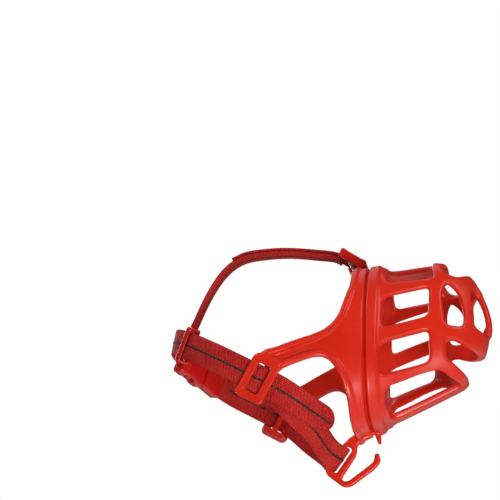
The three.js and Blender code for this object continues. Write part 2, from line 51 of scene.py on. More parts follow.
Y = np.array([0.0, 1.0, 0.0])
FAR = 8.0  # value of a distance field well away from the surface
GRID = 0.6  # cell of the moulding's distance field
FINE = 0.32  # cell of the small hardware's distance fields

# The taper, worked into every place at the end.
DRAW_IN, DRAW_X = 0.2, (-20.0, 45.0)  # share of the width lost towards the nose, and where
DRAW_RISE = 0.244  # the sides rise by this much per millimetre drawn in
MIDDLE_SCALE = 0.97  # side view size on the plane of symmetry
SIDE_GROWTH, HEIGHT_GROWTH = 0.00141, -0.00024  # its growth per millimetre out, and up
SOFT = 10.0  # how gradually the sides turn into the middle
SWEEP, SWEEP_IN, SWEEP_OUT = 0.075, (-45.0, -5.0), (15.0, 50.0)  # the collar's swept back sides
TOP_DROP, TOP_DROP_X, TOP_DROP_Z = 3.3, (-40.0, 10.0), (10.0, 45.0)  # the flattened top
TOP_DROP_OUT = 25.0  # how far out from the middle the flattening ends


# ---------- distance fields ----------
def smax(a, b, k):
    """The larger of two fields, rounded over k where they are close."""
    h = np.maximum(k - np.abs(a - b), 0.0) / k
    return np.maximum(a, b) + h * h * k * 0.25


def smin(a, b, k):
    """The smaller of two fields, rounded over k where they are close."""
    return -smax(-a, -b, k)


def step(low, high, x):
    """Smooth step from 0 at low to 1 at high."""
    t = np.clip((x - low) / (high - low), 0.0, 1.0)
    return t * t * (3.0 - 2.0 * t)


def unit(v):
    v = np.asarray(v, float)
    return v / np.linalg.norm(v)


def tapered(points):
    """Finished places: the cage drawn in towards the nose, the sides larger than the middle."""
    x, y, z = np.moveaxis(np.asarray(points, float), -1, 0)
    out = np.hypot(y, SOFT) - SOFT
    share = DRAW_IN * step(*DRAW_X, x)
    swept = SWEEP * out * step(*SWEEP_IN, x) * (1 - step(*SWEEP_OUT, x))
    middle = 1 - step(0.0, TOP_DROP_OUT, out)
    drop = TOP_DROP * step(*TOP_DROP_Z, z) * step(*TOP_DROP_X, x) * middle
    scale = MIDDLE_SCALE * (1 + SIDE_GROWTH * out + HEIGHT_GROWTH * z)
    return np.stack(
        [x * scale - swept, y * (1 - share), z * scale + DRAW_RISE * share * out - drop], -1)


def rounded(points, radius, pieces=6):
    """The polygon with its corners rounded, as a closed list of points."""
    points = np.asarray(points, float)
    out = []
    for i, p in enumerate(points):
        before, after = points[i - 1] - p, points[(i + 1) % len(points)] - p
        lb, la = np.linalg.norm(before), np.linalg.norm(after)
        cut = min(radius, lb * 0.45, la * 0.45)
        a, b = p + before / lb * cut, p + after / la * cut
        for t in np.linspace(0.0, 1.0, pieces):
            out.append((1 - t) ** 2 * a + 2 * t * (1 - t) * p + t * t * b)
    return np.array(out)


def outline_distance(points, px, py):
    """Signed distance to a closed outline, negative inside."""
    nearest = np.full(px.shape, 1e9)
    inside = np.zeros(px.shape, bool)
    for (ax, ay), (bx, by) in zip(points, np.roll(points, -1, axis=0)):
        ex, ey = bx - ax, by - ay
        length = ex * ex + ey * ey
        if length < 1e-12:
            continue
        wx, wy = px - ax, py - ay
        t = np.clip((wx * ex + wy * ey) / length, 0.0, 1.0)
        np.minimum(nearest, (wx - t * ex) ** 2 + (wy - t * ey) ** 2, out=nearest)
        if ey != 0:
            inside ^= ((ay > py) != (by > py)) & (px < ex * (py - ay) / ey + ax)
    distance = np.sqrt(nearest)
    return np.where(inside, -distance, distance)


def spline(values, at):
    """Natural cubic spline through rows of values, which lie at 0, 1, 2 and so on."""
    n = len(values)
    system, right = np.eye(n), np.zeros(values.shape)
    for i in range(1, n - 1):
        system[i, i - 1 : i + 2] = 1.0, 4.0, 1.0
        right[i] = 6.0 * (values[i - 1] - 2 * values[i] + values[i + 1])
    bend = np.linalg.solve(system, right)
    i = np.clip(np.floor(at).astype(int), 0, n - 2)
    t = (at - i)[..., None]
    a, b = values[i], values[i + 1]
    ma, mb = bend[i], bend[i + 1]
    return (
        a
        + t * (b - a - (2 * ma + mb) / 6.0)
        + t * t * ma / 2.0
        + t * t * t * (mb - ma) / 6.0
    )


def surface_net(field, origin, cell):
    """Vertices and quads of the zero level of a field sampled on a grid."""
    inside = field < 0
    cells = np.array(field.shape) - 1
    spots, quads, outward = [], [], []
    for axis in range(3):
        low, high = [slice(None)] * 3, [slice(None)] * 3
        low[axis], high[axis] = slice(0, -1), slice(1, None)
        crossing = inside[tuple(low)] != inside[tuple(high)]
        i = np.argwhere(crossing)
        f0 = field[tuple(low)][crossing].astype(float)
        f1 = field[tuple(high)][crossing].astype(float)
        p = i.astype(float)
        p[:, axis] += f0 / (f0 - f1)
        u, v = (axis + 1) % 3, (axis + 2) % 3
        ring = []
        for du, dv in ((-1, -1), (0, -1), (0, 0), (-1, 0)):
            c = i.copy()
            c[:, u] += du
            c[:, v] += dv
            ring.append((c[:, 0] * cells[1] + c[:, 1]) * cells[2] + c[:, 2])
        quads.append(np.stack(ring, 1))
        spots.append(p)
        outward.append(inside[tuple(low)][crossing])
    quads = np.concatenate(quads)
    spots = np.concatenate(spots)
    outward = np.concatenate(outward)
    ids, where = np.unique(quads, return_inverse=True)
    where = where.reshape(quads.shape)
    count = np.bincount(where.ravel(), minlength=len(ids)).astype(float)
    place = np.stack(
        [
            np.bincount(where.ravel(), weights=np.repeat(spots[:, k], 4), minlength=len(ids))
            for k in range(3)
        ],
        1,
    )
    place = place / count[:, None] * cell + np.asarray(origin)
    where[~outward] = where[~outward][:, ::-1]
    return place, where


def new_object(name, vertices, faces, smooth=True):
    """An object in the scene, from places in millimetres."""
    mesh = bpy.data.meshes.new(name)
    mesh.from_pydata((np.asarray(vertices) * MM).tolist(), [], np.asarray(faces).tolist())
    mesh.update()
    if smooth:
        mesh.polygons.foreach_set("use_smooth", np.ones(len(mesh.polygons), bool))
    piece = bpy.data.objects.new(name, mesh)
    bpy.context.scene.collection.objects.link(piece)
    return piece


# ---------- the moulding: shape of the basket ----------
WALL = 4.0
SECTION_POWER = 2.6
NUDGE = 1e-3  # for slopes of the surface
# Section of the basket: top x, top z, bottom x, bottom z, half width.
STATIONS = np.array([
    [16.6, 50.5, -15, -51, 48], [34, 46.5, 6, -48.3, 46], [44, 44.5, 16.5, -47, 44.3],
    [54, 43, 27, -45.5, 41.8], [63, 41.3, 38, -43.7, 39.6], [70, 38.5, 48, -42, 37],
    [75, 35, 55.5, -40.5, 33.5], [79.5, 30.5, 62, -37, 29], [83, 25, 69, -31, 24],
    [85, 18, 76, -24, 18], [86.3, 10, 81.5, -15, 11], [87, 1, 86, -6, 2],
])
SPAN = len(STATIONS) - 1
RIM_LEAN, RIM_X = 0.3113, 0.875  # the rear rim's plane: x = RIM_X + RIM_LEAN z
RIM_HALF_W, RIM_HALF_H = 48, 51
ARM_SPREAD, ARM_FLARE = 12, (2, 48)  # the arms spread out, over this stretch behind the origin
COLLAR_RIDGE, ARM_RIDGE = 1.3, 0.3  # height of the edge ridges
COLLAR_PANEL, ARM_PANEL = 0.2, -2.3  # height of the panel between them
RIDGE_EDGE = (3.2, 4.7)  # distance from the edge over which a ridge falls to the panel
SEAM = 0.5  # station where the collar ends and the cage starts
CAGE_BORDER = 1.4
GROOVE_DEPTH, GROOVE_AT, GROOVE_W = 2.5, 0.485, 0.032  # between collar and cage, in stations
OVERHEAD_SLOT = (22.2, 49)  # x, z

# Windows: side view corners, x and z.
UPPER_WINDOW = [[20.5, 0], [26, 20], [55, 19.5], [48.5, 0.5]]
LOWER_WINDOW = [[11.5, -26], [17.5, -6.5], [46.8, -6], [41.5, -25.5]]
NOSE_SIDE_WINDOW = [[54.5, -7], [58, 12.5], [64.5, 21], [70.5, 12], [70, -2], [66, -10.5]]
MOUTH_GAP = [[49.5, -24], [52.5, -14.5], [58, -14.8], [65.5, -20.3], [75, -25], [98, -28],
             [98, -60], [74, -48], [58.5, -35], [54, -30]]
# Seen from below and above: x, y.
CHIN_WINDOW = [[9, 7], [9.5, 33], [14, 38.5], [38, 34], [46, 31.5], [54, 18], [57, 7]]
TOP_WINDOW = [[35.5, 12], [34, 20], [30.5, 37], [33, 43], [55, 43], [59.5, 33], [62, 20],
              [62.5, 12]]
# Seen from the front: y, z.
FRONT_WINDOW = [[4.5, -15], [4.5, 15], [16, 15.5], [25, 12], [26.5, -1], [24.5, -11],
                [14, -15.2]]
# Through the top of the nose: along the slope NOSE_TOP_ALONG from NOSE_TOP_AT, and y.
NOSE_TOP = [[-6.5, -28], [0, -32], [6.5, -29], [9.5, -21], [9.5, 21], [6.5, 29], [0, 32],
            [-6.5, 28]]
# The front bar of the nose, in side view.
NOSE_BAR = [[83.2, 22.5], [85.2, 17], [86.6, 10], [87, 1], [86.2, -7], [83, -14.5], [79, -13],
            [82.2, -6], [83, 1], [82.6, 9], [81.2, 15.5], [79.4, 20.5]]
NOSE_TOP_AT, NOSE_TOP_ALONG = np.array([75.5, 0, 33]), unit([0.62, 0, -0.785])

LOOP = np.array([-55.5, 60.0, -10.5])  # middle of the left arm's loop
SLOT_DIR, ALONG = unit([0.69, 0, 0.724]), unit([0.724, 0, -0.69])
# Rear edge of the collar and the arm, in side view from the top down.
ARM_EDGE = np.array([
    [14.9, 45], [12.9, 38.5], [10.7, 32], [7.2, 26.2], [1, 16.8], [-5, 11.6], [-12, 8.8],
    [-22, 7.4], [-34, 5.9], [-43, 4.9], [-49.5, 4.3], [-57, -4], [-51, -14], [-45.5, -11.2],
    [-39.5, -8.4], [-31, -7], [-22, -6], [-16, -7], [-12, -10.6], [-9.7, -17], [-8.9, -24.5],
    [-9.6, -33], [-11.5, -40],
])
HOOK_OUTLINE = [[-0.5, -49], [-4.2, -51.8], [-15.6, -54.6], [-17.4, -60.2], [-30.4, -71.4],
                [-29.4, -73.2], [-26.4, -73.6], [-8.6, -66.8], [-7, -62.6], [-4.4, -62.6],
                [-4.2, -68.2], [-9.6, -71.8], [-26.4, -77.8], [-31, -76.6], [-38.4, -66.6],
                [-38.6, -62.6], [-24, -51.4], [-16.6, -47.5]]
SPIKE_OUTLINE = [[-3.6, -48], [1.6, -48], [-1.2, -58.2], [-3, -58]]
CHIN_SLOT, CHIN_DIR = np.array([-27.2, 0, -60.2]), unit([0.775, 0, 0.632])
CHIN_NORMAL = unit(np.cross(CHIN_DIR, Y))


def surface(t, a):
    """Points of the basket's outer surface at station t and angle a."""
    row = spline(STATIONS, t)
    c, s = np.cos(a), np.sin(a)
    r = (np.abs(c) ** SECTION_POWER + np.abs(s) ** SECTION_POWER) ** (-1 / SECTION_POWER)
    rise = r * s
    return np.stack([
        (row[..., 0] + row[..., 2]) / 2 + (row[..., 0] - row[..., 2]) / 2 * rise,
        row[..., 4] * r * c,
        (row[..., 1] + row[..., 3]) / 2 + (row[..., 1] - row[..., 3]) / 2 * rise,
    ], -1)


def surface_slopes(t, a):
    """The surface's change along the basket and round it, by central differences."""
    along = surface(t + NUDGE, a) - surface(t - NUDGE, a)
    around = surface(t, a + NUDGE) - surface(t, a - NUDGE)
    return along, around


def surface_normal(t, a):
    along, around = surface_slopes(t, a)
    n = np.cross(around, along)
    return n / np.maximum(np.linalg.norm(n, axis=-1, keepdims=True), 1e-12)


def foot_of(p, t, a, rounds=3):
    """Station, and signed distance from the outer surface, near a first guess (Newton's way)."""
    for _ in range(rounds):
        r = p - surface(t, a)
        along, around = [slope / (2 * NUDGE) for slope in surface_slopes(t, a)]
        aa, ab, bb = (along**2).sum(-1), (along * around).sum(-1), (around**2).sum(-1)
        ra, rb = (along * r).sum(-1), (around * r).sum(-1)
        det = np.maximum(aa * bb - ab * ab, 1e-6)
        t = np.clip(t + np.clip((ra * bb - rb * ab) / det, -0.2, 0.2), -0.3, SPAN - 0.002)
        a = a + np.clip((rb * aa - ra * ab) / det, -0.12, 0.12)
    return t, ((p - surface(t, a)) * surface_normal(t, a)).sum(-1)


def cells_near_surface(low, size):
    """Grid cells near the basket's surface, with their station and distance from it."""
    stations = np.concatenate([np.linspace(-0.25, 8, 420), np.linspace(8, SPAN, 130)[1:]])
    turns = np.linspace(-math.pi / 2 - 0.05, math.pi / 2 + 0.05, 560)
    t, a = [g.ravel() for g in np.meshgrid(stations, turns, indexing="ij")]
    s, n = surface(t, a), surface_normal(t, a)
    nearest = np.full(size, -1, np.int32)
    mid_wall = -1.5
    # Layers from the farthest to the nearest, so that the nearest sample stays.
    for offset in sorted(np.arange(-8.0, 5.0, 0.55 * GRID), key=lambda o: -abs(o - mid_wall)):
        c = np.rint((s + n * offset - low) / GRID).astype(int)
        ok = ((c >= 0) & (c < size)).all(-1)
        nearest[tuple(c[ok].T)] = np.nonzero(ok)[0]
    cells = np.argwhere(nearest >= 0)
    guess = nearest[nearest >= 0]
    return cells, *foot_of(low + cells * GRID, t[guess], a[guess])


def behind_rim(x, z):
    """How far a place is behind the rim's plane."""
    return RIM_X + RIM_LEAN * z - x


def arm_face(x, z):
    """The outer face of an arm, as y over the side view. It leaves the rim along the collar."""
    back = behind_rim(x, z)
    filled = np.clip(1 - (np.abs(z) / RIM_HALF_H) ** SECTION_POWER, 1e-3, 1)
    onto_rim = RIM_HALF_W * filled ** (1 / SECTION_POWER) - RIM_HALF_W
    return (
        RIM_HALF_W + ARM_SPREAD * step(*ARM_FLARE, -x) + onto_rim * (1 - step(0, 17, back))
        + 0.1 * np.maximum(back, 0) * (1 - step(0, 12, back))
    )


def side_outline(x, z):
    """Signed distance in side view from the rear edge of collar and arm, negative ahead of it."""
    edge = spline(ARM_EDGE, np.linspace(0, len(ARM_EDGE) - 1, 180))
    high, deep, ahead = 60, -90, 200
    region = np.concatenate([
        [[ahead, high], [RIM_X + RIM_LEAN * high, high]], edge,
        [[RIM_X + RIM_LEAN * deep, deep], [ahead, deep]],
    ])
    return outline_distance(region, x, z)


def rectangle(u, v, half_u, half_v, radius=0.0):
    """Signed distance from a rectangle round the origin, with rounded corners."""
    qu, qv = np.abs(u) - half_u + radius, np.abs(v) - half_v + radius
    outside = np.hypot(np.maximum(qu, 0), np.maximum(qv, 0))
    return outside + np.minimum(np.maximum(qu, qv), 0) - radius


def loop_axes(x, z):
    """Places in side view, along and across the webbing that goes through the arm's loop."""
    return ((x - LOOP[0]) * ALONG[0] + (z - LOOP[2]) * ALONG[2],
            (x - LOOP[0]) * SLOT_DIR[0] + (z - LOOP[2]) * SLOT_DIR[2])


def relief(x, z, t, edge):
    """How far the outer face stands out: edge ridges, sunk panel, groove, the cage's border."""
    back = np.maximum(behind_rim(x, z), 0)
    from_loop = np.maximum(rectangle(*loop_axes(x, z), 6.5, 11.5), 0.0)
    inset = np.minimum(-edge, from_loop)
    to_arm = step(0, 26, back)
    ridge = COLLAR_RIDGE + (ARM_RIDGE - COLLAR_RIDGE) * to_arm
    panel = COLLAR_PANEL + (ARM_PANEL - COLLAR_PANEL) * to_arm
    collar = ridge + (panel - ridge) * step(*RIDGE_EDGE, inset)
    cage = CAGE_BORDER * step(0.5, 0.56, t) * (1 - step(0.82, 0.97, t))
    groove = GROOVE_DEPTH * np.exp(-(((t - GROOVE_AT) / GROOVE_W) ** 2))
    return np.where(t > SEAM, cage, collar) - groove * (back <= 0)


def window_distances(axes, at):
    """Signed distances from every window in the wall, negative inside, at the given cells."""
    x, y, z = [axis[i] for axis, i in zip(axes, at)]

    def drawn(u, v, points, radius=5):
        plane = np.meshgrid(axes[u], axes[v], indexing="ij")
        return outline_distance(rounded(points, radius), *plane)[at[u], at[v]]

    nose = np.stack([x, y, z], -1) - NOSE_TOP_AT
    return [
        drawn(0, 2, UPPER_WINDOW),
        drawn(0, 2, LOWER_WINDOW),
        np.maximum(drawn(0, 2, NOSE_SIDE_WINDOW), 12 - y),
        drawn(0, 2, MOUTH_GAP, 3),
        np.maximum(drawn(0, 1, CHIN_WINDOW), z + 15),
        smax(drawn(0, 1, TOP_WINDOW), 0.6 * (y - 38.6) - 0.8 * (z - 25.2), 3.0),
        np.maximum(drawn(1, 2, FRONT_WINDOW), 60 - x),
        np.maximum(
            outline_distance(rounded(NOSE_TOP, 4), nose @ NOSE_TOP_ALONG, nose[:, 1]),
            np.abs(nose @ np.cross(NOSE_TOP_ALONG, Y)) - 22,
        ),
    ]


def basket_wall(low, size, axes):
    """Cells near the basket's wall and arms, and the wall's field there."""
    cells, t, d = cells_near_surface(low, size)
    x, _, z = (low + cells * GRID).T
    ahead = behind_rim(x, z) <= 0
    ix, iy, iz = cells[ahead].T

    # Behind the rim the wall carries on as the arms, a curved sheet: y over (x, z).
    side_x, side_z = np.meshgrid(axes[0], axes[2], indexing="ij")
    outline = side_outline(side_x, side_z)
    sheet = (outline < 6) & (behind_rim(side_x, side_z) > 0) & (np.abs(side_z) < 48)
    sx, sz = np.nonzero(sheet)
    px, pz = axes[0][sx], axes[2][sz]
    face = arm_face(px, pz)
    nudge = 0.1
    slope_x = (arm_face(px + nudge, pz) - face) / nudge
    slope_z = (arm_face(px, pz + nudge) - face) / nudge
    lean = 1 / np.sqrt(1 + slope_x**2 + slope_z**2)
    rows = np.nonzero(axes[1] > 30)[0]
    ix = np.concatenate([ix, np.repeat(sx, len(rows))])
    iy = np.concatenate([iy, np.tile(rows, len(sx))])
    iz = np.concatenate([iz, np.repeat(sz, len(rows))])
    from_face = (axes[1][rows][None, :] - face[:, None]) * lean[:, None]
    d = np.concatenate([d[ahead], from_face.ravel()])
    t = np.concatenate([t[ahead], np.zeros(from_face.size)])

    edge = outline[ix, iz]
    wall = smax(d - relief(axes[0][ix], axes[2][iz], t, edge), -(d + WALL), 2.0)
    wall = smax(wall, edge, 2.6)
    draft = 0.35 + 0.3 * np.clip(-d, 0, WALL)  # the windows narrow inwards
    for window in window_distances(axes, (ix, iy, iz)):
        wall = smax(wall, -window - draft, 1.4)
    return (ix, iy, iz), np.clip(wall, -FAR, FAR)


def overhead_slot(gx, gy, gz):
    """The slot for the overhead strap, through the top of the collar."""
    forward, up = unit([0.975, 0, 0.22]), unit([-0.22, 0, 0.975])
    u = (gx - OVERHEAD_SLOT[0]) * forward[0] + (gz - OVERHEAD_SLOT[1]) * forward[2]
    w = (gx - OVERHEAD_SLOT[0]) * up[0] + (gz - OVERHEAD_SLOT[1]) * up[2]
    return np.maximum(smax(np.abs(u) - 2.5, gy - 9.0, 2.0), np.abs(w) - 9)


def arm_loop(a, w, gy):
    """The strap loop at the end of the arm: a framed plate, side walls and a sunk rod."""
    outer = rectangle(a, w, 8.6, 13.4, 3.2)
    hole = smax(np.abs(a) - 3.7, np.abs(w) - 8.5, 1.4)
    half_thickness = 1.0 - 0.45 * step(1.0, 2.2, -outer) * step(0.6, 1.8, hole)
    plate = smax(smax(outer, -hole, 1.2), np.abs(gy - LOOP[1]) - half_thickness, 1.3)
    walls = smax(smax(outer + 1.0, 9.1 - np.abs(w), 1.0), np.abs(gy - 56.9) - 4.1, 1.2)
    rod = smax(np.sqrt(np.maximum(np.abs(a) - 0.7, 0) ** 2 + (gy - 53.7) ** 2) - 0.95,
               np.abs(w) - 12, 0.6)
    return smin(smin(plate, walls, 1.2), rod, 0.8)


def chin_hook(px, pz, gy):
    """The hook and latch spike under the chin, a flat plate with a slot for the chin strap."""
    hook = outline_distance(rounded(HOOK_OUTLINE, 2.6), px, pz)
    spike = outline_distance(rounded(SPIKE_OUTLINE, 1.0), px, pz)
    u = (px - CHIN_SLOT[0]) * CHIN_DIR[0] + (pz - CHIN_SLOT[2]) * CHIN_DIR[2]
    w = (px - CHIN_SLOT[0]) * CHIN_NORMAL[0] + (pz - CHIN_SLOT[2]) * CHIN_NORMAL[2]
    slot = smax(np.abs(u) - 8.8, np.abs(w) - 2.1, 1.4)
    flat = smax(smin(hook, spike, 1.0), -slot, 1.2)
    return smax(smax(flat[:, None, :], gy - 1.6, 1.5), (pz + 46.5)[:, None, :], 1.0)


def moulding():
    """The whole moulding: the left half's distance field, mirrored and meshed."""
    low = np.array([-71.0, GRID / 2, -80.5])
    size = np.ceil((np.array([90.0, 63.5, 54.5]) - low) / GRID).astype(int)
    axes = [low[k] + GRID * np.arange(size[k]) for k in range(3)]
    field = np.full(size, FAR, np.float32)
    at, wall = basket_wall(low, size, axes)
    field[at] = wall

    gx, gy, gz = np.meshgrid(*axes, indexing="ij", sparse=True)
    px, pz = np.meshgrid(axes[0], axes[2], indexing="ij")
    # The bar down the middle of the nose takes the place of the wall's own tip.
    tip = np.maximum(np.maximum(80 - gx, gy - 5.0), np.abs(gz - 1.5) - 11.5)
    field = smax(field, -tip, 1.6)
    bar = smax(outline_distance(rounded(NOSE_BAR, 3), px, pz)[:, None, :], gy - 4.2, 3.0)
    field = smin(field, bar.astype(np.float32), 2.2)
    field = smax(field, -overhead_slot(gx, gy, gz), 1.4)

    a, w = loop_axes(gx, gz)
    inside_loop = np.maximum(np.abs(a) - 8.2, np.abs(w) - 12.9)
    field = np.where(inside_loop < 0, np.maximum(field, -inside_loop.astype(np.float32)), field)
    field = smin(field, arm_loop(a, w, gy).astype(np.float32), 1.6)
    field = smin(field, chin_hook(px, pz, gy).astype(np.float32), 1.8)

    whole = np.concatenate([field[:, ::-1], field], 1)
    corner = (low[0], low[1] - size[1] * GRID, low[2])
    vertices, quads = surface_net(whole, corner, GRID)
    return new_object("muzzle_moulding", tapered(vertices), quads)


# ---------- materials ----------
def nodes_of(name, color, roughness, **extra):
    """A new material with its shader, and short ways to add and join nodes."""
    m = bpy.data.materials.new(name)
    m.use_nodes = True
    tree = m.node_tree
    shader = tree.nodes["Principled BSDF"]
    shader.inputs["Base Color"].default_value = (*color, 1)
    shader.inputs["Roughness"].default_value = roughness
    for key, value in extra.items():
        shader.inputs[key.replace("_", " ")].default_value = value

    def add(kind, **values):
        node = tree.nodes.new(kind)
        for key, value in values.items():
            setattr(node, key, value)
        return node

    def math_node(operation, a, b=None):
        node = add("ShaderNodeMath", operation=operation)
        for socket, value in zip(node.inputs, (a, b)):
            if isinstance(value, (int, float)):
                socket.default_value = value
            elif value is not None:
                tree.links.new(value, socket)
        return node.outputs[0]

    return m, tree, shader, add, math_node


def noise(tree, add, scale, detail, place):
    """Noise with so many features to the metre."""
    node = add("ShaderNodeTexNoise")
    node.inputs["Scale"].default_value = scale
    node.inputs["Detail"].default_value = detail
    tree.links.new(place, node.inputs["Vector"])
    return node.outputs["Fac"]


def ramp(tree, add, value, stops):
    """Colour from a value, between stops of place and colour."""
    node = add("ShaderNodeValToRGB")
    elements = node.color_ramp.elements
    while len(elements) < len(stops):
        elements.new(0.5)
    for element, (position, color) in zip(elements, stops):
        element.position = position
        element.color = (*color, 1)
    tree.links.new(value, node.inputs["Fac"])
    return node.outputs["Color"]


def bumped(tree, add, shader, height, distance, strength):
    """Relief of the given distance in metres, from a height of 0 to 1."""
    node = add("ShaderNodeBump")
    node.inputs["Distance"].default_value = distance
    node.inputs["Strength"].default_value = strength
    tree.links.new(height, node.inputs["Height"])
    tree.links.new(node.outputs["Normal"], shader.inputs["Normal"])


def moulded_material(name, dark, light, rough, coat):
    """Moulded plastic or rubber: a faint cloud of colour, uneven gloss and a fine grain.

    rough is the middle and the spread of its roughness.
    """
    m, tree, shader, add, calc = nodes_of(name, light, rough[0], Coat_Weight=coat,
                                          Coat_Roughness=0.2, Specular_IOR_Level=0.3)
    place = add("ShaderNodeTexCoord").outputs["Object"]
    cloud = noise(tree, add, 28.0, 3.0, place)
    color = ramp(tree, add, cloud, [(0.3, dark), (0.7, light)])
    tree.links.new(color, shader.inputs["Base Color"])
    grain = noise(tree, add, 900.0, 2.0, place)
    smear = noise(tree, add, 90.0, 4.0, place)
    mixed = calc("ADD", calc("MULTIPLY", smear, rough[1]), rough[0] - rough[1] / 2)
    tree.links.new(mixed, shader.inputs["Roughness"])
    height = calc("ADD", calc("MULTIPLY", grain, 0.6), calc("MULTIPLY", smear, 0.4))
    bumped(tree, add, shader, height, 0.00025, 0.18)
    return m


def webbing_material():
    """Ribbed woven tape, coloured darker in the rib valleys as painted shade and pale pink on the
    rib tops as a painted sheen. Its UV map is in millimetres: across, then along.
    """
    rib_w, rib_l = 0.8, 1.05  # millimetres
    m, tree, shader, add, calc = nodes_of("red_webbing", (0.4, 0.006, 0.01), 0.8,
                                          Specular_IOR_Level=0.12)
    uv = add("ShaderNodeUVMap", uv_map="UVMap").outputs["UV"]
    split = add("ShaderNodeSeparateXYZ")
    tree.links.new(uv, split.inputs[0])
    across, along = split.outputs[0], split.outputs[1]
    column = calc("DIVIDE", across, rib_w)
    shift = calc("MULTIPLY", calc("MODULO", calc("FLOOR", column), 2.0), 0.5)
    rib = calc("FRACT", calc("ADD", calc("DIVIDE", along, rib_l), shift))
    rib = calc("SINE", calc("MULTIPLY", rib, math.pi))
    warp = calc("SINE", calc("MULTIPLY", calc("FRACT", column), math.pi))
    height = calc("MULTIPLY", calc("POWER", rib, 0.7), calc("POWER", warp, 0.6))
    place = add("ShaderNodeTexCoord").outputs["Object"]
    fuzz = noise(tree, add, 700.0, 3.0, place)
    worn = noise(tree, add, 60.0, 3.0, place)
    # The weave's height with random fuzz and wear. It is the bump's height, and its colour
    # carries painted shade in the rib valleys and a painted sheen on the rib tops.
    weave_relief_and_painted_light = calc("ADD", calc("MULTIPLY", height, 0.72), calc("MULTIPLY", fuzz, 0.28))
    weave_relief_and_painted_light = calc("ADD", weave_relief_and_painted_light, calc("MULTIPLY", calc("SUBTRACT", worn, 0.5), 0.35))
    # The dark low stop is painted shade in the valleys. The pale pink high stop is a painted
    # sheen on the rib tops.
    color = ramp(tree, add, weave_relief_and_painted_light, [(0.05, (0.10, 0.0, 0.001)), (0.45, (0.46, 0.002, 0.004)),
                                    (0.95, (0.95, 0.09, 0.07))])
    tree.links.new(color, shader.inputs["Base Color"])
    bumped(tree, add, shader, weave_relief_and_painted_light, 0.0009, 0.75)
    return m


def thread_material():
    """Black sewing thread with a fine twist."""
    m, tree, shader, add, calc = nodes_of("black_thread", (0.012, 0.009, 0.009), 0.7)
    place = add("ShaderNodeTexCoord").outputs["Object"]
    twist = noise(tree, add, 2500.0, 2.0, place)
    color = ramp(tree, add, twist, [(0.35, (0.003, 0.002, 0.002)), (0.7, (0.014, 0.008, 0.008))])
    tree.links.new(color, shader.inputs["Base Color"])
    bumped(tree, add, shader, twist, 0.0003, 0.5)
    return m


moulded_rubber = moulded_material("moulded_rubber", (0.58, 0.012, 0.002), (0.67, 0.020, 0.004),
                                  (0.32, 0.12), 0.10)
gloss_plastic = moulded_material("gloss_red_plastic", (0.50, 0.004, 0.003), (0.58, 0.008, 0.004),
                                 (0.20, 0.08), 0.35)
red_webbing = webbing_material()
black_thread = thread_material()


def finished(piece, look, slot, body, *nodes):
    """Gives a rigid piece its material and body, in place of its CAD nodes. slot is not used."""
    piece.data.materials.append(look)
    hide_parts(*nodes)
    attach(piece, body)


finished(moulding(), moulded_rubber, "moulded", "basket",
         "cage", "rim_collar", "arm_right", "arm_left", "chin_hook")


# ---------- webbing ----------
WEB_W, WEB_T = 16.0, 1.6
LAYER = WEB_T + 0.3
ROW_PITCH = 1.1  # between the mesh's rows along a strap
# Places across the tape, as shares of its half width, close together at its edges.
ACROSS = np.array([-1, -0.992, -0.965, -0.9, -0.6, -0.3, 0, 0.3, 0.6, 0.9, 0.965, 0.992, 1])
STITCH, STITCH_GAP, THREAD_W, THREAD_T = 3.4, -0.5, 1.35, 0.5  # stitches overlap a little
STITCH_ROWS, STITCH_SIDES = 7, 8


def through(points, t):
    """Centripetal Catmull-Rom curve through points, at places t counted in points."""
    points = np.asarray(points, float)
    ends = np.vstack([2 * points[0] - points[1], points, 2 * points[-1] - points[-2]])
    i = np.clip(np.floor(t).astype(int), 0, len(points) - 2)
    w = (t - i)[:, None]
    p0, p1, p2, p3 = ends[i], ends[i + 1], ends[i + 2], ends[i + 3]
    d0, d1, d2 = (((b - a) ** 2).sum(-1, keepdims=True) ** 0.25
                  for a, b in ((p0, p1), (p1, p2), (p2, p3)))
    m1 = ((p1 - p0) / d0 - (p2 - p0) / (d0 + d1) + (p2 - p1) / d1) * d1
    m2 = ((p2 - p1) / d1 - (p3 - p1) / (d1 + d2) + (p3 - p2) / d2) * d1
    return (p1 + m1 * w + (3 * p2 - 3 * p1 - 2 * m1 - m2) * w**2
            + (2 * p1 - 2 * p2 + m1 + m2) * w**3)


class Line:
    """The middle line of a strap, with its width and normal directions, by length."""

    def __init__(self, knots, start=0.0, end=None):
        points = np.array([k[0] for k in knots], float)
        widths = np.array([k[1] for k in knots], float)
        end = len(knots) - 1 if end is None else end
        t = np.linspace(start, end, 900)
        self.point = through(points, t)
        tangent = np.gradient(self.point, axis=0)
        tangent /= np.linalg.norm(tangent, axis=1, keepdims=True)
        i = np.clip(np.floor(t).astype(int), 0, len(knots) - 2)
        width = widths[i] + (widths[i + 1] - widths[i]) * (t - i)[:, None]
        width -= tangent * (tangent * width).sum(1, keepdims=True)
        self.width = width / np.linalg.norm(width, axis=1, keepdims=True)
        self.normal = np.cross(tangent, self.width)
        steps = np.linalg.norm(np.diff(self.point, axis=0), axis=1)
        self.at = np.concatenate([[0], np.cumsum(steps)])
        self.length = self.at[-1]

    def frame(self, s):
        """Point, width direction and normal at lengths s."""
        return [np.stack([np.interp(s, self.at, v[:, k]) for k in range(3)], -1)
                for v in (self.point, self.width, self.normal)]


def tube(rows, sides, way=1):
    """Faces of a tube of rings of vertices, with its two end faces last."""
    faces = [[i * sides + j, i * sides + (j + 1) % sides,
              (i + 1) * sides + (j + 1) % sides, (i + 1) * sides + j]
             for i in range(rows - 1) for j in range(sides)]
    ends = [list(range(sides))[::-1], list(range((rows - 1) * sides, rows * sides))]
    return [face[::way] for face in faces + ends]


